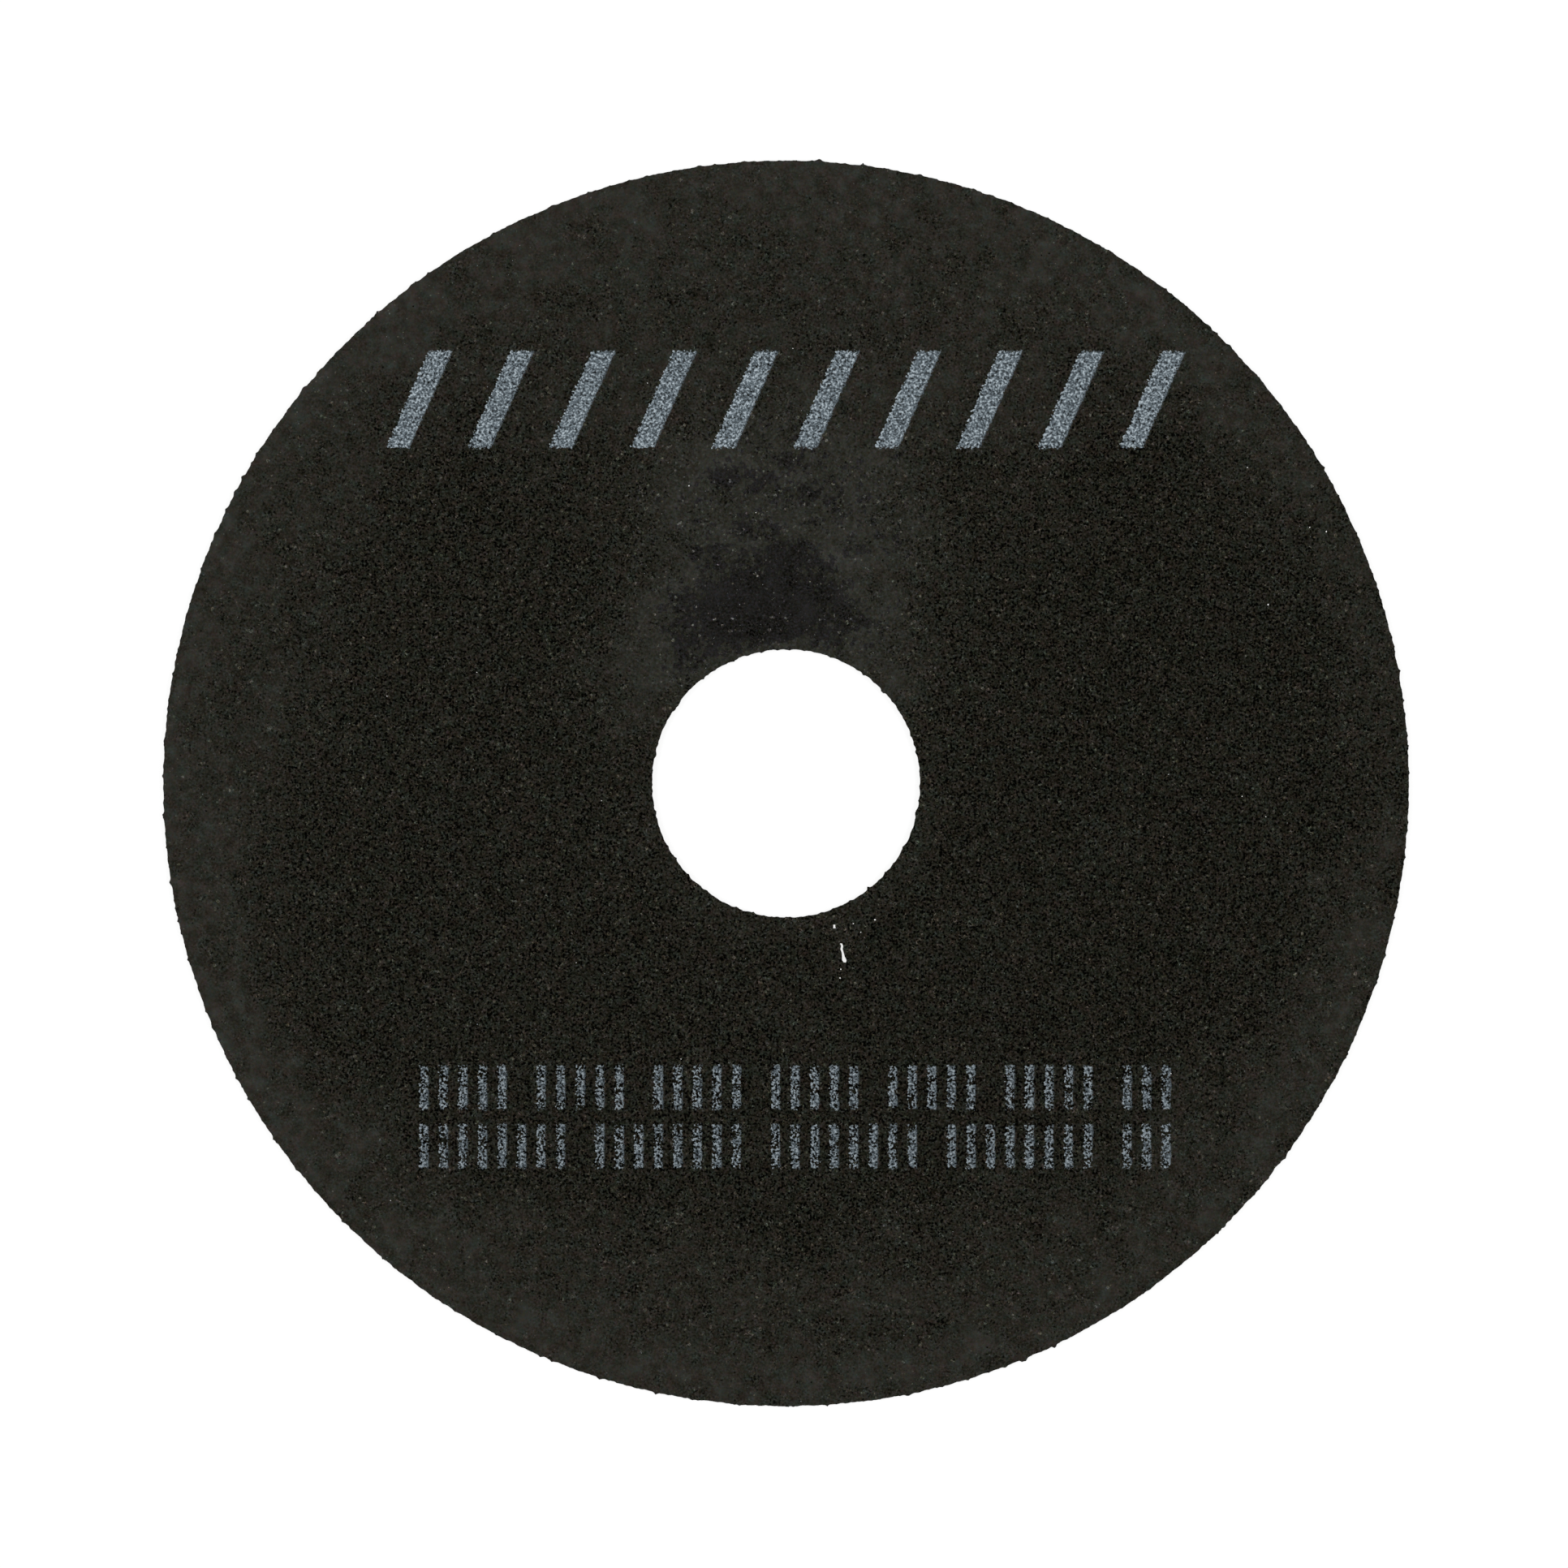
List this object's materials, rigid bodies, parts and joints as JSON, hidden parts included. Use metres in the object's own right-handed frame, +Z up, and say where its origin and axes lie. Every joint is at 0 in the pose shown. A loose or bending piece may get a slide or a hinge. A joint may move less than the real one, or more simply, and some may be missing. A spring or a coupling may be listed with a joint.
{
  "type": "cut off wheel",
  "caption": "Thin flat cutting-off wheel of resin-bonded abrasive grain with a plain round arbor bore, clamped between flanges and spun to slit hard metal.",
  "frame": {"origin": "on the axis of the bore, in the plane of the lower face", "axes": "+Z up along the axis of the bore, out of the upper face"},
  "size_m": [0.15, 0.15, 0.001],
  "materials": {
    "bonded_abrasive": "matte"
  },
  "bodies": {
    "root": {"abrasive_disc": "bonded_abrasive"}
  },
  "joints": []
}
